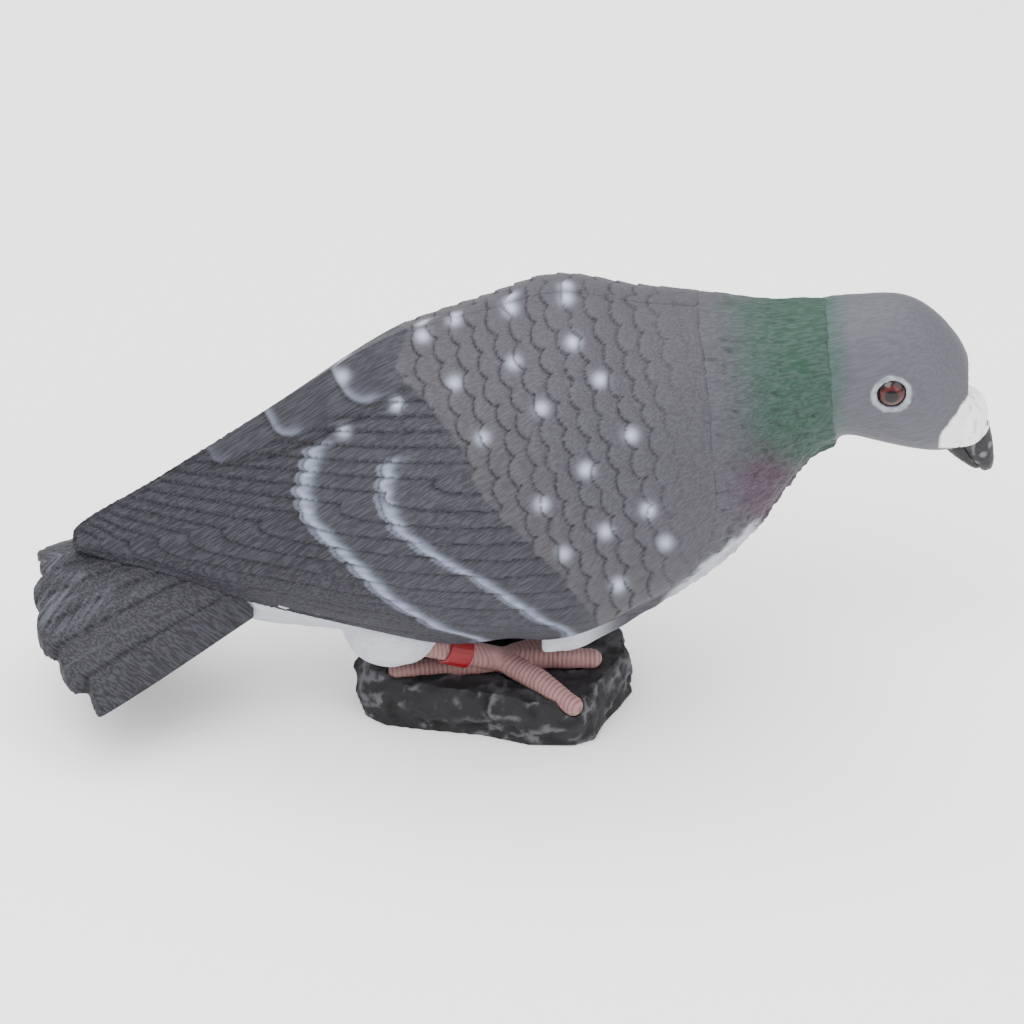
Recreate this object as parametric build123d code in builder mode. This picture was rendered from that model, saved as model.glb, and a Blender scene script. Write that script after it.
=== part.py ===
"""Pigeon figure decoy, cast in pieces and bonded together.

Trunk, head, folded wings, fanned tail, bill, eyes, legs with a ring, and a rock base.

+X runs from the tail to the bill, +Y to the bird's left and +Z up. The origin is on the ground, under the
middle of the overall length. Millimetres.
"""

import os
from math import cos, radians, sin, sqrt

from build123d import *

# ---- driving dimensions --------------------------------------------------------------------------
overall_length = 320.0  # tail tip to bill tip
body_width = 109.0  # across the folded wings
body_height = 159.0  # ground to the top of the back
cast_wall = 5.0  # wall of the hollow trunk
bond_gap = 0.05  # glue line round a spigot, eye or rod
rock_height = 19.0
leg_radius = 4.2
toe_radius = 3.9
toe_tip_radius = 3.3
rod_radius = 1.5
ring_wall = 1.1
ring_length = 9.0
eye_radius = 6.0
eye_opening_radius = 4.3
tail_root_thickness = 9.0
tail_tip_thickness = 2.6

# the tables below are drawn for a bird of 320 x 109 x 159 and stretch with it
stretch = overall_length / 320.0
girth = body_width / 109.0
rise = body_height / 159.0

# ---- outer form of wings, shoulders and neck -----------------------------------------------------
# x, height of the widest line, top, depth below the widest line, half width, slope of the ridge at the top
outer_stations = [
    (-147.0, 62.5, 66.7, 2.4, 4.5, 0.6),
    (-134.0, 66.0, 77.5, 8.5, 13.0, 0.6),
    (-119.0, 68.0, 87.3, 15.0, 20.0, 0.6),
    (-104.0, 70.8, 98.0, 22.0, 27.0, 0.6),
    (-76.0, 76.0, 118.2, 35.0, 37.5, 0.6),
    (-52.0, 81.5, 134.9, 45.0, 46.5, 0.45),
    (-26.0, 86.0, 147.4, 56.0, 52.5, 0.25),
    (0.0, 92.3, 155.6, 61.0, 54.5, 0.1),
    (22.0, 95.2, 159.0, 63.8, 52.5, 0.0),
    (42.0, 98.0, 155.4, 55.5, 47.5, 0.0),
    (60.0, 103.0, 153.8, 48.8, 42.0, 0.0),
    (76.0, 109.5, 153.2, 41.6, 34.5, 0.0),
    (88.0, 117.0, 152.8, 33.6, 28.0, 0.0),
    (97.0, 124.0, 153.3, 27.2, 23.6, 0.0),
]
# ---- trunk under the wings: x, middle, half height, half width -----------------------------------
core_stations = [
    (-114.0, 50.0, 8.0, 10.0),
    (-104.0, 55.5, 15.0, 17.0),
    (-92.0, 60.5, 23.0, 24.0),
    (-76.0, 67.5, 32.5, 31.0),
    (-52.0, 76.0, 41.5, 40.0),
    (-26.0, 84.0, 51.0, 46.0),
    (0.0, 90.5, 57.5, 48.5),
    (22.0, 94.0, 59.0, 47.0),
    (42.0, 98.5, 52.4, 42.5),
    (60.0, 104.0, 46.0, 37.5),
    (76.0, 110.5, 38.6, 30.0),
    (90.0, 119.0, 30.0, 23.0),
]
# ---- joint between neck and head -----------------------------------------------------------------
neck_x, neck_z = 105.5, 129.0
neck_half_height = 25.5
neck_half_width = 21.0
spigot_length = 11.0
spigot_shrink = 6.5  # how far the spigot stands in from the neck's outside

# ---- head: x, middle, half height, half width ----------------------------------------------------
head_stations = [
    (110.0, 131.1, 24.5, 19.3),
    (120.0, 130.5, 25.8, 19.6),
    (130.0, 128.7, 26.8, 19.2),
    (140.0, 124.7, 24.7, 16.4),
    (146.0, 121.3, 21.2, 12.6),
    (150.5, 117.6, 16.0, 8.6),
]
eye_x, eye_z = 124.4, 131.2
eye_side = 19.3  # half width of the head at the eye

# ---- bill: x, z, half depth, half width, along a line that runs down and forward -----------------
bill_lean = (0.36, -0.93)
upper_bill = [
    (151.6, 107.5, 6.6, 5.8),
    (154.6, 100.0, 5.4, 4.7),
    (157.2, 93.8, 3.2, 3.0),
    (158.2, 91.0, 1.7, 1.6),
]
lower_bill = [(147.0, 102.5, 4.5, 5.0), (151.0, 96.9, 3.4, 3.9), (155.0, 92.2, 1.5, 2.2)]
cere_center = (149.6, 112.2)
cere_radii = (9.4, 9.8, 11.4)

# ---- wings ---------------------------------------------------------------------------------------
wing_lower_edge = [
    (-150.0, 60.7),
    (-131.0, 59.2),
    (-104.0, 54.0),
    (-71.0, 50.5),
    (-37.0, 43.0),
    (-4.0, 39.5),
    (16.0, 39.5),
    (29.0, 42.0),
]
wing_front_edge = [(46.0, 54.5), (58.0, 72.0), (65.0, 95.0), (64.0, 125.0), (57.0, 165.0)]

# ---- tail fan: x, height of the crest, drop from crest to edge, half width -----------------------
tail_stations = [
    (-86.0, 83.0, 34.0, 26.0),
    (-108.0, 73.5, 36.5, 35.0),
    (-132.0, 64.0, 39.5, 44.5),
    (-165.0, 50.5, 42.0, 52.0),
]
tail_root_x = -86.0
feather_ends = [(-158.5, 0.0), (-160.0, 12.0), (-158.5, 23.0), (-151.0, 31.5), (-141.0, 37.8)]  # x, y
feather_half_width = 8.2

# ---- legs: x, y, z on the left side --------------------------------------------------------------
thigh_center = (-40.0, 19.0, 40.5)
thigh_radii = (16.5, 13.0, 13.5)
ankle = (-29.0, 20.5, 34.5)
foot = (-4.0, 11.0, 22.3)
toes = {
    "middle": ((12.0, 9.5, 22.2), (27.0, 8.7, 21.0)),
    "outer": ((9.0, 21.5, 20.6), (20.5, 31.0, 16.5)),
    "inner": ((6.0, 5.4, 22.2), (15.0, 2.4, 21.6)),
    "hind": ((-22.0, 9.8, 18.0), (-38.5, 13.0, 18.2)),
}
left_step = (-3.0, 4.5, 0.0)  # the left foot stands a little behind and outside the mirror of the right one
rock_outline = [
    (-50.5, -14.0),
    (-44.0, -20.5),
    (-31.0, -23.8),
    (-10.0, -27.8),
    (6.0, -34.6),
    (21.0, -35.0),
    (28.5, -30.5),
    (32.0, -19.0),
    (36.5, -10.0),
    (42.0, 3.0),
    (38.0, 17.0),
    (30.0, 33.0),
    (5.0, 39.0),
    (-18.0, 36.0),
    (-42.0, 28.0),
    (-54.3, 3.0),
]


def at(x, y, z):
    """A point of the tables on a bird of the wanted size."""
    return Vector(x * stretch, y * girth, z * rise)


def across(x, z):
    """Plane square to X: its own x runs along +Y and its own y along +Z."""
    return Plane(origin=at(x, 0, z), x_dir=(0, 1, 0), z_dir=(1, 0, 0))


neck_facing = (cos(radians(4)), 0, sin(radians(4)))
neck_joint = Plane(origin=at(neck_x, 0, neck_z), x_dir=(0, 1, 0), z_dir=neck_facing)


def half_section(mid, top, depth, wide, slope):
    """Right half of a section, closed along the middle: a half oval whose top is drawn up to a ridge."""
    high = (top - mid) * rise
    low = depth * rise
    side = wide * girth
    flank = []
    for turn in (67.5, 45.0, 22.5, 0.0, -22.5, -45.0, -67.5):
        drawn = 1 - 0.24 * slope * sin(radians(2 * turn)) if turn > 0 else 1
        height = high if turn > 0 else low
        flank.append((-drawn * side * cos(radians(turn)), drawn * height * sin(radians(turn))))
    with BuildLine() as section:
        Line((0, -low), (0, high))
        Spline([(0, high)] + flank + [(0, -low)], tangents=[(-1, -slope), (1, 0)])
    return section.line


# ---- outer form, one half, loft from wing tip to neck --------------------------------------------
with BuildPart() as outer_right:
    for x, mid, top, depth, wide, slope in outer_stations:
        with BuildSketch(across(x, mid)):
            add(half_section(mid, top, depth, wide, slope))
            make_face()
    with BuildSketch(neck_joint):
        add(half_section(0, neck_half_height, neck_half_height, neck_half_width, 0))
        make_face()
    loft()

with BuildPart() as core:
    for x, mid, high, wide in core_stations:
        with BuildSketch(across(x, mid)):
            Ellipse(wide * girth, high * rise)
    loft()

with BuildPart() as spigot_socket:
    with BuildSketch(neck_joint.offset(1.0)):
        Ellipse(neck_half_width * girth - spigot_shrink, neck_half_height * rise - spigot_shrink)
    extrude(amount=-spigot_length - 1.0 - bond_gap)

with BuildPart() as cavity:
    for x, mid, high, wide in core_stations[3:]:
        with BuildSketch(across(x, mid)):
            Ellipse(wide * girth - cast_wall, high * rise - cast_wall)
    with BuildSketch(neck_joint.offset(1.0)):
        Ellipse(neck_half_width * girth - spigot_shrink, neck_half_height * rise - spigot_shrink)
    loft()
    add(spigot_socket.part)

# ---- side outline of a wing ----------------------------------------------------------------------
with BuildPart() as wing_block:
    with BuildSketch(Plane.XZ.offset(-1)):
        with BuildLine():
            lower = Spline([(x * stretch, z * rise) for x, z in wing_lower_edge])
            front = Spline(
                [lower @ 1] + [(x * stretch, z * rise) for x, z in wing_front_edge],
                tangents=[lower % 1, (-0.25, 1)],
            )
            back = Polyline(front @ 1, ((lower @ 0).X, (front @ 1).Y), lower @ 0)
        make_face()
    extrude(amount=body_width)

# ---- tail ----------------------------------------------------------------------------------------
with BuildPart() as tail_fan:
    for x, crest, drop, wide in tail_stations:
        t = (x - tail_stations[0][0]) / (tail_stations[-1][0] - tail_stations[0][0])
        thick = tail_root_thickness + (tail_tip_thickness - tail_root_thickness) * t
        side = wide * girth
        fall = drop * rise
        with BuildSketch(across(x, crest)):
            with BuildLine():
                upper = Spline(
                    (-side, -fall),
                    (-0.55 * side, -0.3 * fall),
                    (0, 0),
                    (0.55 * side, -0.3 * fall),
                    (side, -fall),
                )
                under = Spline(
                    (side - 0.4 * thick, -fall - 0.3 * thick),
                    (0.5 * side, -0.3 * fall - 1.05 * thick),
                    (0, -thick),
                    (-0.5 * side, -0.3 * fall - 1.05 * thick),
                    (-side + 0.4 * thick, -fall - 0.3 * thick),
                )
                Line(upper @ 1, under @ 0)
                Line(under @ 1, upper @ 0)
            make_face()
    loft()
    with BuildSketch(Plane.XY) as fan_outline:
        for tip_x, tip_y in feather_ends:
            for side in (1, -1):
                root = at(tail_root_x, side * tip_y * 0.5, 0)
                tip = at(tip_x + feather_half_width, side * tip_y, 0)
                along = (tip - root).normalized()
                edge = Vector(-along.Y, along.X) * feather_half_width
                with BuildLine():
                    Polyline(root + edge, root - edge, tip - edge, tip + edge, close=True)
                make_face()
                with Locations(tip):
                    Circle(feather_half_width)
    extrude(amount=body_height, mode=Mode.INTERSECT)
    add(core.part, mode=Mode.SUBTRACT)


# ---- legs: tapered fingers with round ends -------------------------------------------------------
def finger(points, radii):
    """Bent tapered finger: a cone along each run and a ball at each point, as one solid."""
    with BuildPart() as bent:
        for point, radius in zip(points, radii):
            with Locations(point):
                Sphere(radius)
        for start, end, radius, end_radius in zip(points, points[1:], radii, radii[1:]):
            run = end - start
            shrink = (radius - end_radius) / run.length
            fit = sqrt(1 - shrink * shrink)
            for_cone = Plane(origin=start + run * (shrink * radius / run.length), z_dir=run)
            height = run.length + shrink * (end_radius - radius)
            with BuildSketch(for_cone):
                Circle(radius * fit)
            with BuildSketch(for_cone.offset(height)):
                Circle(end_radius * fit)
            loft()
    return bent.part


def on_side(point, side):
    """A table point on the bird's left (1) or right (-1)."""
    x, y, z = point
    return at(x, side * y, z)


def on_foot(point, side):
    """The same for a point of the foot: it stands on the rock, and the left foot takes its step."""
    seat = Vector(0, 0, rock_height - 19.0 * rise)
    return on_side(point, side) + seat + (at(*left_step) if side > 0 else Vector(0, 0, 0))


def rod_path(side, radius):
    """Steel rod from the thigh down the tarsus, then straight down into the rock."""
    hip = on_side(thigh_center, side)
    heel = on_side(ankle, side)
    sole = on_foot(foot, side)
    inside = heel + (heel - sole).normalized() * 9
    floor = Vector(sole.X, sole.Y, 3.0)
    with BuildPart() as rod:
        with BuildLine() as path:
            FilletPolyline(inside, sole, floor, radius=5.0)
        with BuildSketch(Plane(origin=path.line @ 0, z_dir=path.line % 0)):
            Circle(radius)
        sweep()
    return rod.part


legs = {}
drilled_legs = {}
rods = {}
for side, name in ((1, "left"), (-1, "right")):
    with BuildPart() as leg:
        heel = on_side(ankle, side)
        sole = on_foot(foot, side)
        add(finger([heel, sole], [leg_radius, leg_radius]))
        for knuckle, tip in toes.values():
            toe_line = [sole, on_foot(knuckle, side), on_foot(tip, side)]
            add(finger(toe_line, [toe_radius, toe_radius, toe_tip_radius]))
    legs[name] = leg
    with BuildPart() as drilled:
        add(leg.part)
        add(rod_path(side, rod_radius + bond_gap), mode=Mode.SUBTRACT)
    drilled_legs[name] = drilled
    with BuildPart() as rod:
        add(rod_path(side, rod_radius))
    rods[name] = rod

# the ring lies on the right tarsus
heel = on_side(ankle, -1)
sole = on_foot(foot, -1)
ring_plane = Plane(origin=heel + (sole - heel) * 0.4, z_dir=sole - heel)
with BuildPart() as leg_ring:
    with BuildSketch(ring_plane):
        Circle(leg_radius + bond_gap + ring_wall)
        Circle(leg_radius + bond_gap, mode=Mode.SUBTRACT)
    extrude(amount=ring_length / 2, both=True)
    fillet(leg_ring.edges().filter_by(GeomType.CIRCLE), 0.4)

# ---- head, eyes and bill -------------------------------------------------------------------------
with BuildPart() as head:
    with BuildSketch(neck_joint):
        Ellipse(neck_half_width * girth, neck_half_height * rise)
    for x, mid, high, wide in head_stations:
        with BuildSketch(across(x, mid)):
            Ellipse(wide * girth, high * rise)
    loft()
    with BuildSketch(neck_joint):
        Ellipse(
            neck_half_width * girth - spigot_shrink - bond_gap,
            neck_half_height * rise - spigot_shrink - bond_gap,
        )
    extrude(amount=-spigot_length)

eyes = {}
for side, name in ((1, "left"), (-1, "right")):
    depth = sqrt(eye_radius**2 - eye_opening_radius**2)
    with BuildPart() as eye:
        with Locations(at(eye_x, side * eye_side, eye_z) - Vector(0, side * depth, 0)):
            Sphere(eye_radius)
    eyes[name] = eye

with BuildPart() as cere_ball:
    Sphere(1.0)
    scale(by=(cere_radii[0] * stretch, cere_radii[1] * girth, cere_radii[2] * rise))


def bill_loft(stations):
    """Half of the bill: ellipses square to the bill's line."""
    with BuildPart() as horn:
        for x, z, high, wide in stations:
            level = Plane(origin=at(x, 0, z), x_dir=(0, 1, 0), z_dir=(bill_lean[0], 0, bill_lean[1]))
            with BuildSketch(level):
                Ellipse(wide, high)
        loft()
    return horn.part


with BuildPart() as bill_upper:
    add(bill_loft(upper_bill))
    add(head.part, mode=Mode.SUBTRACT)

with BuildPart() as bill_cere:
    add(cere_ball.part.moved(Location(at(cere_center[0], 0, cere_center[1]))))
    add(head.part, mode=Mode.SUBTRACT)
    add(bill_upper.part, mode=Mode.SUBTRACT)

with BuildPart() as bill_lower:
    add(bill_loft(lower_bill))
    add(head.part, mode=Mode.SUBTRACT)
    add(bill_upper.part, mode=Mode.SUBTRACT)
    add(bill_cere.part, mode=Mode.SUBTRACT)

with BuildPart() as head_casting:
    add(head.part)
    for side in (1, -1):
        with Locations(at(eye_x, side * eye_side, eye_z) - Vector(0, side * depth, 0)):
            Sphere(eye_radius + bond_gap, mode=Mode.SUBTRACT)

# ---- wings ---------------------------------------------------------------------------------------
with BuildPart() as thigh_ball:
    Sphere(1.0)
    scale(by=(thigh_radii[0] * stretch, thigh_radii[1] * girth, thigh_radii[2] * rise))

with BuildPart() as right_wing_form:
    add(outer_right.part)
    add(wing_block.part, mode=Mode.INTERSECT)
    add(core.part, mode=Mode.SUBTRACT)
    add(tail_fan.part, mode=Mode.SUBTRACT)
    add(thigh_ball.part.moved(Location(on_side(thigh_center, -1))), mode=Mode.SUBTRACT)

with BuildPart() as right_wing:
    add(right_wing_form.part.solids().sort_by(SortBy.VOLUME)[-1])

with BuildPart() as shoulders:
    add(outer_right.part)
    add(wing_block.part, mode=Mode.SUBTRACT)
    with BuildSketch(Plane.YZ.offset(10 * stretch)):
        Rectangle(2 * body_width, 3 * body_height)
    extrude(amount=overall_length, mode=Mode.INTERSECT)
    mirror(about=Plane.XZ)

rod_holes = [rod_path(side, rod_radius + bond_gap) for side in (1, -1)]

with BuildPart() as body_casting:
    add(core.part)
    add(shoulders.part)
    for side in (1, -1):
        add(thigh_ball.part.moved(Location(on_side(thigh_center, side))))
    add(cavity.part, mode=Mode.SUBTRACT)
    for leg in legs.values():
        add(leg.part, mode=Mode.SUBTRACT)
    add(rod_holes, mode=Mode.SUBTRACT)

with BuildPart() as rock_base:
    with BuildSketch():
        Polygon(*[(x * 0.98 * stretch, y * 0.87 * girth) for x, y in rock_outline], align=None)
    with BuildSketch(Plane.XY.offset(0.55 * rock_height)):
        Polygon(*[(x * stretch, y * girth) for x, y in rock_outline], align=None)
    with BuildSketch(Plane.XY.offset(rock_height)):
        Polygon(*[(x * 0.94 * stretch, y * 0.9 * girth) for x, y in rock_outline], align=None)
    loft(ruled=True)
    for leg in legs.values():
        add(leg.part, mode=Mode.SUBTRACT)
    add(rod_holes, mode=Mode.SUBTRACT)

pieces = {
    "body_casting": body_casting.part,
    "head_casting": head_casting.part,
    "right_wing": right_wing.part,
    "left_wing": right_wing.part.mirror(Plane.XZ),
    "tail_fan": tail_fan.part,
    "bill_upper": bill_upper.part,
    "bill_lower": bill_lower.part,
    "bill_cere": bill_cere.part,
    "left_eye": eyes["left"].part,
    "right_eye": eyes["right"].part,
    "left_leg": drilled_legs["left"].part,
    "right_leg": drilled_legs["right"].part,
    "leg_ring": leg_ring.part,
    "left_leg_rod": rods["left"].part,
    "right_leg_rod": rods["right"].part,
    "rock_base": rock_base.part,
}
os.makedirs("parts", exist_ok=True)
for name, piece in pieces.items():
    piece.label = name
    export_step(piece, f"parts/{name}.step")
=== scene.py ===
"""Pigeon figure decoy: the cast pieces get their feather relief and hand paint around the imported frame."""

import math

import bmesh
import bpy
import numpy as np
from mathutils import Matrix, Vector
from mathutils.bvhtree import BVHTree


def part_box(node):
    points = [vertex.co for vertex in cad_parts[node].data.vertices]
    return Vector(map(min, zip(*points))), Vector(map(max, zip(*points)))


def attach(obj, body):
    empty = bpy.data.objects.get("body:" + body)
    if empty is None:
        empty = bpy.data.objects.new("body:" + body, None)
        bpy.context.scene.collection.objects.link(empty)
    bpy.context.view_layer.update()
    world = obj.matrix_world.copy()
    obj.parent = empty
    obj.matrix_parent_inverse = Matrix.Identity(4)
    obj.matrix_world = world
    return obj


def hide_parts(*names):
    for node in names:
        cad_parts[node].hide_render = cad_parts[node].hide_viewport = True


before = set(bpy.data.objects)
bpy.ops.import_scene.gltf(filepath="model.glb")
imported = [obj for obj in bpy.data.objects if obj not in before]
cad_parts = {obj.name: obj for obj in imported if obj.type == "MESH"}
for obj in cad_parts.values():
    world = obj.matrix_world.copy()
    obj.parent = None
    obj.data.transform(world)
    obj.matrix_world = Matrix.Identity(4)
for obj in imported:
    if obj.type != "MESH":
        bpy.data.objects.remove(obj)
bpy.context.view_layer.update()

LEAN = math.radians(32)  # tilt of the camera, and of the plane that the feather charts are drawn on


def linear(code):
    """sRGB hex to linear RGBA."""
    out = []
    for i in (1, 3, 5):
        c = int(code[i : i + 2], 16) / 255
        out.append(c / 12.92 if c <= 0.04045 else ((c + 0.055) / 1.055) ** 2.4)
    return (*out, 1.0)


def add_node(tree, kind, links=None, **settings):
    """Adds a shader node; settings that name an input set its value, the others set node properties."""
    node = tree.nodes.new(kind)
    for key, value in settings.items():
        if hasattr(node, key):
            setattr(node, key, value)
    for key, value in settings.items():
        if not hasattr(node, key):
            node.inputs[key.replace("_", " ")].default_value = value
    for key, source in (links or {}).items():
        tree.links.new(source, node.inputs[key])
    return node


def mixed(tree, factor, low, high):
    """Colour mix of two colours or sockets by a factor socket."""
    mix = add_node(tree, "ShaderNodeMix", data_type="RGBA")
    tree.links.new(factor, mix.inputs[0])
    for socket, value in ((mix.inputs[6], low), (mix.inputs[7], high)):
        if isinstance(value, str):
            socket.default_value = linear(value)
        else:
            tree.links.new(value, socket)
    return mix.outputs[2]


def mask(tree, name, strength=1.0):
    """A painted mask stored on the mesh, scaled."""
    read = add_node(tree, "ShaderNodeAttribute", attribute_name=name)
    scaled = add_node(tree, "ShaderNodeMath", operation="MULTIPLY", use_clamp=True)
    tree.links.new(read.outputs["Fac"], scaled.inputs[0])
    scaled.inputs[1].default_value = strength
    return scaled.outputs[0]


def paint(name, base, mottled, layers=(), strokes=(), grain=900.0, roughness=0.62, bump=0.25, coat=0.0):
    """Hand paint on cast resin: a mottled base, masks laid over it, and fine brush and tool strokes.

    layers are (mask, colour, strength); strokes are (turn about X, Y and Z in degrees,
    fine scale per metre).
    """
    material = bpy.data.materials.new(name)
    material.use_nodes = True
    tree = material.node_tree
    tree.nodes.clear()
    coords = add_node(tree, "ShaderNodeTexCoord").outputs["Object"]
    cloud = add_node(tree, "ShaderNodeTexNoise", {"Vector": coords}, Scale=70.0, Detail=3.0)
    colour = mixed(tree, cloud.outputs["Fac"], base, mottled)
    for label, tint, strength in layers:
        colour = mixed(tree, mask(tree, label, strength), colour, tint)
    relief = add_node(tree, "ShaderNodeTexNoise", {"Vector": coords}, Scale=grain, Detail=2.0).outputs["Fac"]
    if strokes:
        turned = add_node(tree, "ShaderNodeMapping", {"Vector": coords}, vector_type="TEXTURE")
        turned.inputs["Rotation"].default_value = [math.radians(v) for v in strokes[0]]
        turned.inputs["Scale"].default_value = (12.0, 1.0, 1.0)
        along = {"Vector": turned.outputs[0]}
        hairs = add_node(tree, "ShaderNodeTexNoise", along, Scale=strokes[1], Detail=2.0)
        sharp = add_node(tree, "ShaderNodeMapRange", {"Value": hairs.outputs["Fac"]})
        sharp.inputs["From Min"].default_value = 0.42
        sharp.inputs["From Max"].default_value = 0.60
        colour_soft = add_node(tree, "ShaderNodeMath", operation="MULTIPLY")
        tree.links.new(sharp.outputs[0], colour_soft.inputs[0])
        colour_soft.inputs[1].default_value = 0.13
        colour = mixed(tree, colour_soft.outputs[0], colour, "#70717c")
        relief = sharp.outputs[0]
    surface = add_node(tree, "ShaderNodeBump", {"Height": relief}, Strength=bump, Distance=0.0004)
    shader = add_node(tree, "ShaderNodeBsdfPrincipled", {"Base Color": colour, "Normal": surface.outputs[0]})
    shader.inputs["Roughness"].default_value = roughness
    shader.inputs["IOR"].default_value = 1.48
    shader.inputs["Specular IOR Level"].default_value = 0.25
    shader.inputs["Coat Weight"].default_value = coat
    add_node(tree, "ShaderNodeOutputMaterial", {"Surface": shader.outputs[0]})
    return material


def cad_copy(node, name, extra=None):
    """Merged copy of a CAD node's mesh; extra may add to it before it is linked."""
    bm = bmesh.new()
    bm.from_mesh(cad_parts[node].data)
    bmesh.ops.remove_doubles(bm, verts=bm.verts, dist=1e-6)
    if extra:
        extra(bm)
    mesh = bpy.data.meshes.new(name)
    bm.to_mesh(mesh)
    bm.free()
    piece = bpy.data.objects.new(name, mesh)
    bpy.context.scene.collection.objects.link(piece)
    return piece


def lap_over(bm, node, facing, span):
    """Carries the rim that faces a neighbour on by 1.3 mm along X, lying on the neighbour's surface."""
    other = bmesh.new()
    other.from_mesh(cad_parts[node].data)
    surface = BVHTree.FromBMesh(other)
    moved = {v for f in bm.faces if f.normal.x * facing > 0.8 for v in f.verts if span[0] < v.co.x < span[1]}
    for v in moved:
        v.co.x += facing * 0.0013
        near, normal, _, _ = surface.find_nearest(v.co)
        if (v.co - near).dot(normal) > 0:
            v.co = near
    other.free()


def bake(piece):
    """Applies the piece's modifiers and keeps its largest shell."""
    graph = bpy.context.evaluated_depsgraph_get()
    mesh = bpy.data.meshes.new_from_object(piece.evaluated_get(graph))
    piece.modifiers.clear()
    old = piece.data
    piece.data = mesh
    bpy.data.meshes.remove(old)
    bm = bmesh.new()
    bm.from_mesh(piece.data)
    left = set(bm.verts)
    shells = []
    while left:
        seed = left.pop()
        shell = [seed]
        stack = [seed]
        while stack:
            for edge in stack.pop().link_edges:
                for other in edge.verts:
                    if other in left:
                        left.remove(other)
                        shell.append(other)
                        stack.append(other)
        shells.append(shell)
    shells.sort(key=lambda s: max(v.co.x for v in s) - min(v.co.x for v in s), reverse=True)
    for shell in shells[1:]:
        bmesh.ops.delete(bm, geom=shell, context="VERTS")
    bmesh.ops.recalc_face_normals(bm, faces=bm.faces)
    bm.to_mesh(piece.data)
    bm.free()
    piece.data.name = piece.name


def refine(piece, cell, rounds=6):
    """Even mesh of square cells, with the cell steps smoothed out."""
    voxels = piece.modifiers.new("cells", "REMESH")
    voxels.mode = "VOXEL"
    voxels.voxel_size = cell * 1.0
    smooth = piece.modifiers.new("smooth", "SMOOTH")
    smooth.factor = 0.5
    smooth.iterations = rounds
    bake(piece)


def hashed(i, j, k, seed):
    """Repeatable pseudo-random value from 0 to 1 at whole-number places."""
    n = np.sin(i * 127.1 + j * 311.7 + k * 74.7 + seed * 53.3) * 43758.5453
    return n - np.floor(n)


def noise(p, size, seed):
    """Smooth value noise from -1 to 1 with cells of the given size."""
    g = p / size
    base = np.floor(g)
    f = g - base
    f = f * f * (3 - 2 * f)
    total = 0
    for di in (0, 1):
        for dj in (0, 1):
            for dk in (0, 1):
                weight = np.abs(1 - di - f[:, 0]) * np.abs(1 - dj - f[:, 1]) * np.abs(1 - dk - f[:, 2])
                total = total + weight * hashed(base[:, 0] + di, base[:, 1] + dj, base[:, 2] + dk, seed)
    return total * 2 - 1


def ramp(value, low, high):
    t = np.clip((value - low) / (high - low), 0, 1)
    return t * t * (3 - 2 * t)


def bell(value, width):
    return np.exp(-((value / width) ** 2))


def positions(piece):
    """Vertex positions in millimetres and unit normals."""
    count = len(piece.data.vertices)
    co = np.zeros(count * 3)
    no = np.zeros(count * 3)
    piece.data.vertices.foreach_get("co", co)
    piece.data.vertices.foreach_get("normal", no)
    return co.reshape(-1, 3) * 1000, no.reshape(-1, 3)


def flank_height(p):
    """Height on the leaning chart plane, the same on both sides of the bird, in millimetres."""
    return p[:, 2] * math.cos(LEAN) - np.abs(p[:, 1]) * math.sin(LEAN)


def sculpt(piece, p, n, height, masks):
    """Moves the surface out by height (mm) and stores the paint masks."""
    moved = (p + n * height[:, None]) / 1000
    piece.data.vertices.foreach_set("co", moved.ravel())
    for label, values in masks.items():
        layer = piece.data.attributes.new(label, "FLOAT", "POINT")
        layer.data.foreach_set("value", np.clip(values, 0, 1).astype(np.float32))
    piece.data.update()
    piece.data.polygons.foreach_set("use_smooth", [True] * len(piece.data.polygons))


def place(piece, material, slot, *nodes):
    piece.data.materials.clear()
    piece.data.materials.append(material)
    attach(piece, "root")
    if nodes:
        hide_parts(*nodes)


def scales(along, across, pitch, width, reach):
    """Overlapping round-ended feathers: rise towards each free edge, and distance past the edge above.

    along runs towards the tail. Returns the relief from 0 to 1, the gap outside the covering edge in mm, and
    the place of the point within its feather from -1 at the root to 1 at the free edge.
    """
    radius = width * reach
    row0 = np.floor(along / pitch)
    found = np.zeros(len(along), bool)
    local = np.zeros(len(along))
    gap = np.full(len(along), 9.0)
    for step in (-2, -1, 0, 1, 2):
        row = row0 + step
        shift = np.where(np.mod(row, 2) == 0, 0.0, 0.5)
        col = np.round(across / width - shift)
        jitter = (hashed(row, col, 0, 3) - 0.5) * 0.16 * width
        da = along - (row * pitch + jitter)
        dc = across - (col + shift) * width
        away = np.hypot(da, dc) - radius * (1 + 0.07 * (hashed(row, col, 1, 5) - 0.5))
        inside = away < 0
        take = inside & ~found
        local = np.where(take, da / radius, local)
        outside_upper = ~inside & ~found
        gap = np.where(outside_upper, np.minimum(gap, away), gap)
        found |= inside
    return (local + 1) / 2, gap, local


# --- Folded wings ---------------------------------------------------------------------------------
# Two mirrored castings in polyresin, bonded to the trunk. The mould carries overlapping scale feathers on the
# shoulder, two rows of long coverts that end in pale airbrushed bars, and the stacked flight feathers behind.
LOWER_X = [-147, -131, -117, -104, -87, -71, -54, -37, -21, -4, 16, 29, 46, 60]
LOWER_Q = [53.0, 44.5, 39.9, 36.5, 32.5, 29.2, 25.5, 22.5, 20.2, 18.8, 19.2, 21.2, 31.5, 42.0]
BAR_Q = [19.8, 23.2, 33.2, 46.6, 59.9, 69.9, 83.3, 87.0]
BAR_X = [-10.7, -24.0, -40.7, -54.0, -67.5, -69.8, -65.8, -60.0]
FRONT_BAR_Q = [22.0, 26.5, 39.9, 46.6, 56.6, 66.6, 78.3, 83.0]
FRONT_BAR_X = [20.0, 9.4, -10.7, -24.0, -37.4, -42.4, -40.7, -34.0]
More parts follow.
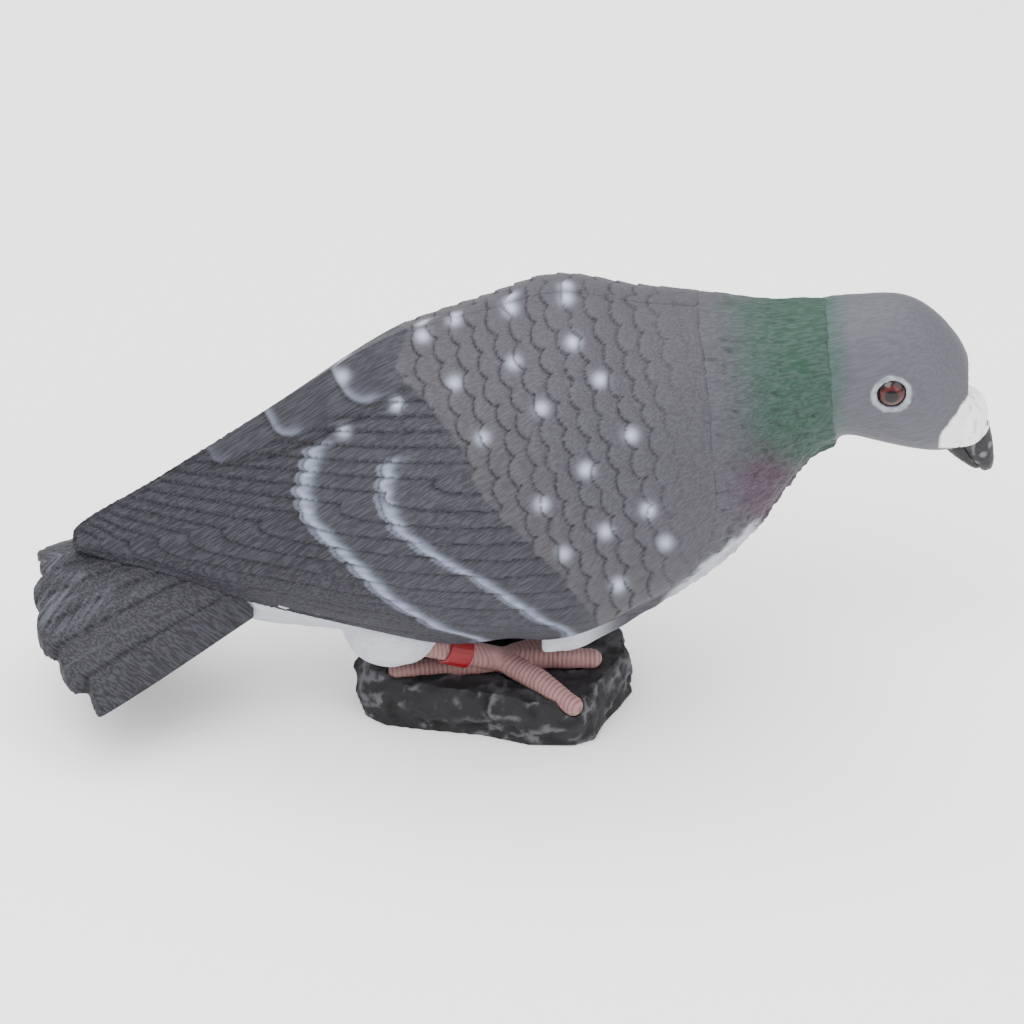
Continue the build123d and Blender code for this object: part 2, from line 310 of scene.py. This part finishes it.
SCALE_Q = [20.0, 26.5, 43.2, 66.6, 86.6, 100.0, 108.0, 122.0]
SCALE_X = [33.0, 29.4, 16.0, -7.3, -17.4, -27.4, -36.0, -33.0]
CLEFT_X = [-112, -100, -79, -66, -56, -40, -28]
CLEFT_Q = [76.0, 79.6, 83.0, 88.6, 93.0, 99.5, 106.0]
# long inner feathers: centre and radius of each end, front one first
TERTIALS = [(-49.0, 107.0, 8.0), (-74.0, 94.0, 6.2), (-97.0, 83.6, 4.2)]
GRAIN = (-19.0, -5.7)  # the way the scale feathers point
SCALE_PITCH = 6.6  # from row to row of scale feathers, mm
SCALE_WIDTH = 9.0  # from scale to scale in a row, mm
SCALE_REACH = 0.60  # radius of a scale as a share of that
SPOT_ROWS = [  # first spot, step to the next and how many
    (17.7, 132.7, -18.4, -3.3, 3),
    (20.0, 118.0, -19.4, -6.6, 4),
    (28.7, 105.7, -19.2, -9.5, 3),
    (38.7, 87.6, -14.5, -11.3, 3),
    (44.4, 63.3, -13.7, -7.2, 3),
    (50.1, 52.9, -15.0, -14.4, 2),
    (-29.4, 120.7, -26.4, -13.4, 2),
    (-55.8, 89.3, 0.0, 0.0, 1),
]


def feather_rows(x, q):
    """Place within a long feather, from 0 at its free lower edge to 1 at the edge of the one above."""
    drop = q - np.interp(x, LOWER_X, LOWER_Q)
    end_x = -150 + drop / 0.42
    rise = drop - 5.5 * np.exp(-np.clip(x - end_x, 0, 60) / 9)
    spacing = 3.7 + 0.0125 * (x + 148)
    row = rise / spacing
    return row - np.floor(row)


def wing_relief(p):
    """Relief in mm and paint masks over the whole wing chart."""
    x, q = p[:, 0], flank_height(p)
    t = feather_rows(x, q)
    edge = bell(1 - t, 0.13)
    shaft = bell(t - 0.5, 0.05)
    flight = 0.95 * (1 - t) - 0.15 * shaft - 0.35 * edge
    # Darker along feather edges, shafts, covert ends, inner feather outlines and the cleft: a dark wash that
    # is also painted shade in these creases.
    shade_and_wash = edge + 0.3 * shaft

    rounding = 1.5 * (1 - (2 * t - 1) ** 2)
    past_bar = x - np.interp(q, BAR_Q, BAR_X) + rounding
    past_front = x - np.interp(q, FRONT_BAR_Q, FRONT_BAR_X) + rounding
    in_scales = x - np.interp(q, SCALE_Q, SCALE_X)
    cleft = q - np.interp(x, CLEFT_X, CLEFT_Q)
    covert = ramp(past_bar, -0.5, 0.5)
    front = ramp(past_front, -0.5, 0.5)

    tail_x, tail_q = GRAIN
    length = math.hypot(tail_x, tail_q)
    along = (x * tail_x + q * tail_q) / length
    across = (x * -tail_q + q * tail_x) / length
    wander = 0.9 * noise(np.stack([x, q, q * 0], 1), 22.0, 21)
    small = 1 - 0.22 * ramp(40 - q, 0, 25)
    lift, gap, local = scales(along + wander, across + wander * 0.6, SCALE_PITCH, SCALE_WIDTH, SCALE_REACH)
    scale_edge = bell(gap, 0.75)
    rows_in = ramp(in_scales + 2.6 * lift, -0.6, 0.6)
    fade = 1 - ramp(x, 38, 60)
    scaly = (1.0 * lift - 0.35 * scale_edge) * (0.15 + 0.85 * fade) * small

    height = flight + 0.45 * covert + 0.35 * front
    height = height * (1 - rows_in) + rows_in * (scaly + 1.0)
    shade_and_wash = shade_and_wash * (1 - rows_in) + rows_in * scale_edge * (0.25 + 0.75 * fade)
    for position in (past_bar, past_front):
        shade_and_wash = np.maximum(shade_and_wash, bell(position + 0.9, 0.55) * (1 - rows_in) * (cleft < 0))

    # long inner feathers along the ridge, front one on top
    inner = np.zeros(len(x))
    pale_end = np.zeros(len(x))
    direction = np.array([0.87, 0.49])
    for rank, (cx, cq, radius) in reversed(list(enumerate(TERTIALS))):
        rx, rq = x - cx, q - cq
        run = rx * direction[0] + rq * direction[1]
        side = rx * direction[1] - rq * direction[0]
        away = np.hypot(np.minimum(run, 0), side * (1 if rank else 0.9)) - radius - 0.10 * np.maximum(run, 0)
        away = np.where(side < 0, np.hypot(np.minimum(run, 0), side * 0) - radius, away)
        cover = ramp(-away, -0.4, 0.6) * (1 - rows_in) * (q > np.interp(x, CLEFT_X, CLEFT_Q) - 3.5)
        step = 0.9 + 0.5 * (2 - rank)
        vane = 0.35 * bell(side, 0.5)
        height = height * (1 - cover) + cover * (step - vane + 0.02 * run)
        shade_and_wash = shade_and_wash * (1 - cover) + cover * 0.5 * bell(side, 0.5)
        outline = bell(away - 0.8, 0.7) * (1 - rows_in) * (x > -112) * (x < -25) * (away > -0.5)
        shade_and_wash = np.maximum(shade_and_wash, outline)
        inner = np.maximum(inner, cover)
        tip = cover * bell(away + 0.6, 1.8) * ramp(4 - run, 0, 6) * (0.7 if rank < 2 else 0.2)
        pale_end = np.maximum(pale_end, tip)
    cut = bell(cleft + 1.2, 1.0) * ramp(x, -114, -100) * ramp(-x, 34, 46)
    height = height - 0.9 * cut
    shade_and_wash = np.maximum(shade_and_wash, cut)

    ragged = 0.25 * noise(np.stack([x, q * 3, q * 0], 1), 2.4, 31)
    pale = bell(past_bar - 1.0, 3.0) * (past_bar > -2.5) * ramp(88 - q, 0, 6) * (1 - inner)
    pale_front = bell(past_front - 0.8, 2.9) * (past_front > -2.5) * ramp(82 - q, 0, 5) * (1 - rows_in)
    pale = np.maximum(pale * (0.85 + ragged), pale_front * (0.8 + ragged))
    pale = np.maximum(pale, 0.55 * pale_end)

    # soft airbrushed spots in slanted rows over the scale feathers
    spots = np.zeros(len(x))
    for sx, sq, dx, dq, count in SPOT_ROWS:
        for k in range(count):
            away2 = (x - sx - k * dx) ** 2 + (q - sq - k * dq) ** 2
            spots = np.maximum(spots, np.exp(-away2 / 5.0) * (1 - 0.35 * hashed(k, sx, sq, 4)))

    brown = rows_in * ramp(34 - in_scales, 0, 30) * 0.55
    dark = (1 - rows_in) * (1 - covert) * (1 - 0.55 * inner)
    lit = ramp(height, 0.9, 1.9) * rows_in * 0.5 * ramp(local, 0.2, 0.9)
    masks = {
        "shade_and_wash": shade_and_wash,
        "pale": pale,
        "spots": spots,
        "brown": brown,
        "dark": dark,
        "scaly": rows_in,
        "lit": lit,
    }
    return height, masks


wing_paint = paint(
    "painted polyresin, matt slate grey, airbrushed bars",
    "#26262b",
    "#2c2c32",
    layers=[
        ("dark", "#1e1d23", 0.85),
        ("scaly", "#3a393e", 1.0),
        ("brown", "#383533", 0.6),
        ("lit", "#434248", 0.8),
        ("pale", "#8c94aa", 0.85),
        ("spots", "#b9bfd2", 0.8),
        # dark wash and painted shade in the creases between feathers
        ("shade_and_wash", "#101013", 0.72),
    ],
    strokes=((0, -38, 0), 1700.0),
)
for side in ("right", "left"):
    wing = cad_copy(
        f"{side}_wing", f"painted_{side}_wing", lambda bm: lap_over(bm, "body_casting", 1, (0.03, 0.08))
    )
    refine(wing, 0.00082)
    p, n = positions(wing)
    relief, masks = wing_relief(p)
    outward = n[:, 1] * np.sign(p[:, 1]) * 0.9 + n[:, 2] * 0.45
    shown = ramp(outward, 0.05, 0.4)
    sunk = 0.6 + 1.2 * ramp(55 - p[:, 0], 0, 20)  # keeps the relief inside the cast outline
    sculpt(wing, p, n, (relief - sunk) * shown, masks)
    place(wing, wing_paint, "wing_paint", f"{side}_wing")

# --- Trunk ----------------------------------------------------------------------------------------
# Hollow polyresin casting: neck, breast, belly and feathered thighs. The neck is combed with wavy hair-like
# feathers, airbrushed green and purple; the breast patch, vent and thighs are white.
def plug_neck(bm):
    """Closes the open neck so that only the outside is kept."""
    low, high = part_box("head_casting")
    turn = Matrix.Rotation(math.radians(90), 4, "Y") @ Matrix.Diagonal((0.0215, 0.0170, 0.012, 1))
    spot = Matrix.Translation((low.x + 0.0045, 0, 0.129))
    bmesh.ops.create_cone(
        bm, cap_ends=True, segments=64, radius1=1, radius2=1, depth=1, matrix=spot @ turn
    )


body = cad_copy("body_casting", "painted_body", plug_neck)
refine(body, 0.00088)
p, n = positions(body)
x, q = p[:, 0], flank_height(p)
flow = np.stack([x * 0.42 + 1.1 * noise(p, 6.0, 41), p[:, 1] * 1.5, p[:, 2] * 1.5 + x * 0.35], 1)
combed = noise(flow, 2.3, 42) + 0.5 * noise(flow, 1.25, 43)
neck_zone = ramp(x, 40, 66)
downy = noise(np.stack([x * 0.6, p[:, 1], p[:, 2] * 0.6], 1), 2.4, 44)
relief = neck_zone * 0.55 * combed + (1 - neck_zone) * 0.35 * downy
breast = ramp(40 + 0.85 * (x - 56) + 1.5 * noise(p, 3, 49) - q, 0, 3) * ramp(x, 48, 54) * ramp(84 - x, 0, 5)
green = ramp(x + 0.12 * (q - 100) + 3 * noise(p, 9, 45), 62, 84) * ramp(q - 74 + 2 * noise(p, 5, 46), -3, 9)
green = green * (0.55 + 0.45 * bell(x - 94, 18))
magenta = np.clip(1.3 * bell(x - 84, 11) * bell(q - 71, 12), 0, 1)
magenta = magenta * (0.8 + 0.3 * noise(p, 4, 47)) * (1 - breast)
belly = ramp(-x, -38, -22) * ramp(62 - p[:, 2], 0, 6)
tail_shade = ramp(-x, 84, 98)
masks = {
    "green": green,
    "magenta": magenta,
    "white": np.maximum(belly * (1 - tail_shade), breast * (0.9 + 0.2 * noise(p, 3, 48))),
    "shade": tail_shade,
    # Darker in the low parts of the combed strokes: dark wash and painted shade in these creases.
    "shade_and_wash": ramp(-combed, 0.45, 0.95) * (0.2 + 0.6 * neck_zone),
}
sculpt(body, p, n, relief, masks)
body_paint = paint(
    "painted polyresin, matt mauve grey, airbrushed neck",
    "#3c3c42",
    "#424146",
    layers=[
        ("green", "#173a2a", 0.86),
        ("magenta", "#351329", 0.8),
        ("white", "#b4b6bd", 0.95),
        ("shade", "#222226", 1.0),
        # dark wash and painted shade in the combed creases
        ("shade_and_wash", "#121315", 0.6),
    ],
    strokes=((0, -14, 0), 1300.0),
    bump=0.35,
)
place(body, body_paint, "body_paint", "body_casting")

# --- Head -----------------------------------------------------------------------------------------
# Solid polyresin casting on a spigot in the neck. It is smoother than the trunk, with fine combed strokes, a
# green collar, a rough white ring painted round each eye and a white patch over the face beside the bill.
head = cad_copy("head_casting", "painted_head", lambda bm: lap_over(bm, "body_casting", -1, (0.1, 0.112)))
refine(head, 0.0006)
p, n = positions(head)
eye_low, eye_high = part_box("right_eye")
eye_mid = (eye_low + eye_high) * 500
x, q = p[:, 0], flank_height(p)
from_eye = np.hypot(x - eye_mid.x, p[:, 2] - eye_mid.z)
flow = np.stack([x * 0.4, p[:, 1] * 1.4, p[:, 2] * 1.4 + x * 0.3], 1)
fine = noise(flow, 1.2, 51)
ring_edge = 6.9 + 0.5 * noise(p, 2.0, 52)
ring = ramp(ring_edge - from_eye, -0.25, 0.35)
face_line = 88.6 + 1.43 * (x - 141.3) + 0.5 * noise(p, 2.0, 53)
face = ramp(face_line - q, 0, 0.9) * ramp(q, 83.5, 84.5) * ramp(x, 140.6, 141.6)
collar = ramp(x, 113, 103.5)
relief = 0.10 * fine * (1 - ring) + 0.22 * bell(from_eye - 5.6, 1.3) - 0.35 * bell(from_eye - 4.4, 0.5)
relief = relief + 0.14 * ring * noise(p, 0.9, 54) + 0.35 * face + collar * 0.2 * noise(flow, 2.3, 42)
masks = {
    "ring": ring * (0.75 + 0.5 * noise(p, 1.0, 55)),
    # Dark ring in the crease round each eye: painted shade where the glass eye sits in its socket.
    "socket": bell(from_eye - 4.1, 0.55),
    "white": face,
    "green": collar * ramp(q, 78, 92) * 0.8,
    "mark": bell(x - 144.6, 1.0) * bell(q - 123.5, 1.2) * ramp(noise(p, 0.8, 56), 0.0, 0.3),
}
sculpt(head, p, n, relief * (x > 105), masks)
head_paint = paint(
    "painted polyresin, satin mauve grey",
    "#45454b",
    "#4b4b51",
    layers=[
        ("green", "#1e4334", 0.8),
        ("ring", "#9aa1a8", 0.8),
        # painted shade in the crease round each eye
        ("socket", "#160e11", 0.8),
        ("white", "#e9e9ea", 1.0),
        ("mark", "#1d1412", 0.9),
    ],
    strokes=((0, -18, 0), 1300.0),
    roughness=0.55,
    bump=0.08,
)
place(head, head_paint, "head_paint", "head_casting")

# --- Eyes -----------------------------------------------------------------------------------------
# Round glass-like eyes bonded in sockets: a dark red iris with a black pupil and a wet gloss.
def eye_material():
    rings = [("pupil", "#020203", 1.0), ("rim", "#120607", 0.9)]
    material = paint("glossy eye, red iris and black pupil", "#3c0d0e", "#481213", rings, grain=400.0)
    shader = next(item for item in material.node_tree.nodes if item.type == "BSDF_PRINCIPLED")
    shader.inputs["Roughness"].default_value = 0.12
    shader.inputs["IOR"].default_value = 1.5
    shader.inputs["Specular IOR Level"].default_value = 0.35
    bump = next(item for item in material.node_tree.nodes if item.type == "BUMP")
    bump.inputs["Strength"].default_value = 0.02
    return material


eye_gloss = eye_material()
for side in ("right", "left"):
    low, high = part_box(f"{side}_eye")
    centre = (low + high) / 2
    bm = bmesh.new()
    radius = (high.z - low.z) / 2
    bmesh.ops.create_icosphere(bm, subdivisions=6, radius=radius, matrix=Matrix.Translation(centre))
    mesh = bpy.data.meshes.new(f"glass_{side}_eye")
    bm.to_mesh(mesh)
    bm.free()
    eye = bpy.data.objects.new(f"glass_{side}_eye", mesh)
    bpy.context.scene.collection.objects.link(eye)
    p, n = positions(eye)
    out = np.hypot(p[:, 0] - centre.x * 1000, p[:, 2] - centre.z * 1000)
    sculpt(eye, p, n, out * 0, {"pupil": ramp(2.35 - out, -0.15, 0.15), "rim": ramp(out, 3.4, 3.9)})
    place(eye, eye_gloss, "eye_glass", f"{side}_eye")

# --- Bill and cere --------------------------------------------------------------------------------
# Upper and lower bill cast in dark grey with dry-brushed white, under a matt white swollen cere.
bill_paint = paint(
    "painted polyresin, charcoal, dry-brushed white",
    "#1e1d1f",
    "#252527",
    layers=[("worn", "#6b6b6e", 0.75), ("tipped", "#49494c", 0.5)],
    roughness=0.5,
    bump=0.3,
)
scuffs = [("worn", "#818284", 0.4)]
white_paint = paint("painted polyresin, matt white", "#e4e4e5", "#ececec", scuffs, bump=0.12)
for node, name, slot, material, seed in (
    ("bill_upper", "painted_upper_bill", "bill_paint", bill_paint, 61),
    ("bill_lower", "painted_lower_bill", "bill_paint", bill_paint, 62),
    ("bill_cere", "painted_cere", "cere_paint", white_paint, 63),
):
    bill = cad_copy(node, name)
    refine(bill, 0.00032, 5)
    p, n = positions(bill)
    rough = noise(p, 1.6, seed) + 0.6 * noise(p, 0.8, seed + 10)
    worn = ramp(noise(np.stack([p[:, 0], p[:, 1], p[:, 2] * 0.5], 1), 1.5, seed + 20), 0.15, 0.6)
    trim = 1.3 * ramp(n[:, 0] + 0.5 * n[:, 2], 0.1, 0.9) * (node == "bill_cere")
    sculpt(bill, p, n, 0.10 * rough - trim, {"worn": worn, "tipped": ramp(94.5 - p[:, 2], 0, 3)})
    place(bill, material, slot, node)

# --- Tail fan -------------------------------------------------------------------------------------
# One polyresin casting of nine overlapping tail feathers with raised shafts, barbs cut on a slant and rounded
# ends, painted charcoal and dry-brushed white towards the ends.
TAIL_EDGES = [5.5, 15.5, 25.0, 33.0, 45.5]  # feather borders from the middle outwards at the tips, mm
tail = cad_copy("tail_fan", "painted_tail")
refine(tail, 0.0007, 4)
p, n = positions(tail)
spread = np.clip((-84 - p[:, 0]) / 76, 0.02, 1.1)
out = np.abs(p[:, 1]) / (0.46 + 0.54 * spread)
border = np.full(len(out), 99.0)
shaft = np.full(len(out), 99.0)
step = np.zeros(len(out))
for inner_edge, outer_edge in zip([-5.5] + TAIL_EDGES[:-1], TAIL_EDGES):
    within = (out >= inner_edge) & (out < outer_edge)
    t = (out - inner_edge) / (outer_edge - inner_edge)
    step = np.where(within, t, step)
    border = np.minimum(border, np.abs(out - outer_edge))
    shaft = np.minimum(shaft, np.abs(out - (inner_edge * 0.45 + outer_edge * 0.55)))
slant = np.stack([p[:, 0] * 0.9 + out * 0.9, p[:, 0] * 0.09 - out * 0.09, p[:, 2] * 0], 1)
barbs = noise(slant, 0.95, 71)
upper = ramp(n[:, 2] + 0.35 * np.abs(n[:, 1]), 0.0, 0.3)
relief = 0.75 * (step - 0.5) + 0.28 * bell(shaft, 0.5) - 0.45 * bell(border, 0.7) + 0.16 * barbs
toward_end = ramp(-p[:, 0] - 0.35 * (45 - out), 104, 140)
patches = ramp(noise(np.stack([p[:, 0], out * 1.3, p[:, 2] * 0], 1), 9.0, 72) + 0.35 * barbs, -0.1, 0.5)
masks = {
    "brushed": toward_end * patches * ramp(barbs, -0.25, 0.55) * ramp(30 - out, -9, 12) * upper,
    # Darker along the borders between feathers and in the barb cuts: dark wash and painted shade in these
    # creases.
    "shade_and_wash": np.maximum(bell(border, 0.6), 0.35 * ramp(-barbs, 0.3, 0.8)) * upper,
    "shafts": bell(shaft, 0.35) * toward_end * upper,
}
sculpt(tail, p, n, relief * upper, masks)
tail_paint = paint(
    "painted polyresin, charcoal, dry-brushed white",
    "#1b1b1f",
    "#212025",
    # the first layer is a dark wash and painted shade in the creases between feathers and barbs
    layers=[("shade_and_wash", "#0a0a0c", 0.75), ("brushed", "#4a4c52", 0.72), ("shafts", "#48494f", 0.3)],
    strokes=((0, 38, 0), 1500.0),
    bump=0.2,
)
place(tail, tail_paint, "tail_paint", "tail_fan")

# --- Feet -----------------------------------------------------------------------------------------
# Polyresin tarsi and toes with ring-like scutes across each toe, painted matt salmon pink, with a dark wash
# that is also painted shade in the creases between the scutes.
foot_paint = paint(
    "painted polyresin, matt salmon pink",
    "#825f5d",
    "#8f6f6d",
    # the first layer is a dark wash and painted shade in the creases between the scutes
    layers=[("crease_shade_and_wash", "#533636", 0.7), ("lit", "#957d7a", 0.5)],
    roughness=0.6,
    bump=0.12,
)
TOE_HUBS = {"right": (-4.0, -11.0), "left": (-7.0, 15.5)}  # where the toes of each foot meet, mm
for side in ("right", "left"):
    leg = cad_copy(f"{side}_leg", f"painted_{side}_leg")
    refine(leg, 0.0005, 5)
    p, n = positions(leg)
    hub_x, hub_y = TOE_HUBS[side]
    ray = np.hypot(p[:, 0] - hub_x, p[:, 1] - hub_y)
    scute = np.abs(np.mod(ray / 1.55 + 0.12 * noise(p, 2.5, 81), 1.0) - 0.5) * 2
    top = ramp(n[:, 2], -0.4, 0.2)
    relief = 0.20 * (ramp(scute, 0.05, 0.55) - 0.6) * top * ramp(ray, 4, 7)
    lumps = 0.18 * noise(p, 3.2, 82)
    masks = {
        # Darker in the creases between the scutes: dark wash and painted shade.
        "crease_shade_and_wash": bell(scute, 0.28) * ramp(ray, 4, 7),
        "lit": ramp(n[:, 2], 0.3, 0.9) * ramp(scute, 0.4, 0.9),
    }
    sculpt(leg, p, n, relief + lumps, masks)
    place(leg, foot_paint, "foot_paint", f"{side}_leg")

# --- Leg ring -------------------------------------------------------------------------------------
# Plain moulded plastic ring in satin red, slipped over the right tarsus.
ring_red = paint(
    "moulded plastic, satin red", "#710c13", "#781219", grain=300.0, roughness=0.35, bump=0.03, coat=0.2
)
ring = cad_copy("leg_ring", "red_leg_ring")
refine(ring, 0.00028, 3)
ring.data.polygons.foreach_set("use_smooth", [True] * len(ring.data.polygons))
place(ring, ring_red, "ring_plastic", "leg_ring")

# --- Leg rods -------------------------------------------------------------------------------------
# Drawn steel wire through each tarsus into the rock, wholly hidden in the castings.
steel = bpy.data.materials.new("drawn steel wire")
steel.use_nodes = True
steel_shader = steel.node_tree.nodes["Principled BSDF"]
steel_shader.inputs["Base Color"].default_value = linear("#b8b8b8")
steel_shader.inputs["Metallic"].default_value = 1.0
steel_shader.inputs["Roughness"].default_value = 0.35
for side in ("right", "left"):
    rod = cad_copy(f"{side}_leg_rod", f"wire_{side}_leg_rod")
    place(rod, steel, "rod_steel", f"{side}_leg_rod")

# --- Rock base ------------------------------------------------------------------------------------
# Polyresin cast from a broken stone: lumpy sides, cracks and pits, flat underneath. Matt black with white
# dry-brushed over the ridges.
rock = cad_copy("rock_base", "painted_rock")
refine(rock, 0.0009, 3)
p, n = positions(rock)
lumps = noise(p, 13.0, 91) * 1.3 + noise(p, 6.0, 92) * 0.9
crags = 1 - 2 * np.abs(noise(p + 2.0 * lumps[:, None], 5.0, 93))
chips = 1 - 2 * np.abs(noise(p, 2.2, 94))
relief = lumps + 0.75 * crags + 0.35 * chips - 1.4
flat = ramp(p[:, 2], 0.6, 3.0) * ramp(n[:, 2], -0.95, -0.5)
near_foot = np.ones(len(p))
for side in ("right", "left"):
    foot = np.array([v.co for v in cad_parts[f"{side}_leg"].data.vertices])[::7] * 1000
    foot = foot[foot[:, 2] < 24]
    for chunk in np.array_split(foot, max(1, len(foot) // 150)):
        gap = np.min(np.hypot(p[:, None, 0] - chunk[None, :, 0], p[:, None, 1] - chunk[None, :, 1]), axis=1)
        near_foot = np.minimum(near_foot, ramp(gap, 0.3, 3.5))
ridge = ramp(crags + 0.5 * chips + 0.4 * noise(p, 1.1, 95), 0.55, 1.15)
streak = ramp(noise(np.stack([p[:, 0], p[:, 1], p[:, 2] * 1.6], 1), 7.0, 96), -0.2, 0.4)
masks = {
    "ridge": ridge * streak * (1 - 0.4 * ramp(n[:, 2], 0.6, 0.95)),
    # Darker in the cracks: dark wash and painted shade in the crevices.
    "shade_and_wash": ramp(-crags, 0.0, 0.8),
}
sculpt(rock, p, n, relief * flat * (0.15 + 0.85 * near_foot), masks)
rock_paint = paint(
    "painted polyresin stone, matt black, dry-brushed",
    "#1b1a1c",
    # dark wash and painted shade in the cracks
    "#222023",
    layers=[("shade_and_wash", "#0a090b", 0.7), ("ridge", "#626267", 0.6)],
    grain=1400.0,
    roughness=0.7,
    bump=0.5,
)
place(rock, rock_paint, "rock_paint", "rock_base")

# --- Floor, lights and camera ---------------------------------------------------------------------
# A plain pale studio floor with soft light from above and from the front left, and a long lens.
bm = bmesh.new()
bmesh.ops.create_grid(bm, x_segments=1, y_segments=1, size=6.0)
floor_mesh = bpy.data.meshes.new("floor")
bm.to_mesh(floor_mesh)
bm.free()
floor = bpy.data.objects.new("floor", floor_mesh)
bpy.context.scene.collection.objects.link(floor)
floor_paper = bpy.data.materials.new("seamless white paper")
floor_paper.use_nodes = True
floor_shader = floor_paper.node_tree.nodes["Principled BSDF"]
floor_shader.inputs["Base Color"].default_value = linear("#ffffff")
floor_shader.inputs["Roughness"].default_value = 0.9
floor.data.materials.append(floor_paper)

for name, spot, size, power in (
    ("key", (-0.55, -0.9, 1.5), 1.2, 34.0),
    ("fill", (1.1, -0.9, 1.0), 1.4, 16.0),
    ("top", (0.0, 0.5, 1.7), 1.6, 32.0),
):
    lamp = bpy.data.lights.new(name, "AREA")
    lamp.size = size
    lamp.energy = power
    light = bpy.data.objects.new(name, lamp)
    light.location = spot
    light.rotation_mode = "QUATERNION"
    light.rotation_quaternion = (Vector((0, 0, 0.08)) - Vector(spot)).to_track_quat("-Z", "Y")
    bpy.context.scene.collection.objects.link(light)
world = bpy.data.worlds.new("studio")
world.use_nodes = True
world.node_tree.nodes["Background"].inputs["Color"].default_value = linear("#ffffff")
world.node_tree.nodes["Background"].inputs["Strength"].default_value = 1.2
bpy.context.scene.world = world

CAMERA_DISTANCE = 2.5
FRAME_WIDTH = 0.342  # width of the view at the bird
camera_data = bpy.data.cameras.new("camera")
camera_data.sensor_width = 36.0
camera_data.lens = 36.0 * CAMERA_DISTANCE / FRAME_WIDTH
camera_data.dof.use_dof = False
camera = bpy.data.objects.new("camera", camera_data)
back = Vector((0, -math.cos(LEAN), math.sin(LEAN)))
camera.location = Vector((0, 0, 0.0738)) + back * CAMERA_DISTANCE
camera.rotation_mode = "QUATERNION"
camera.rotation_quaternion = (-back).to_track_quat("-Z", "Y")
bpy.context.scene.collection.objects.link(camera)
bpy.context.scene.camera = camera
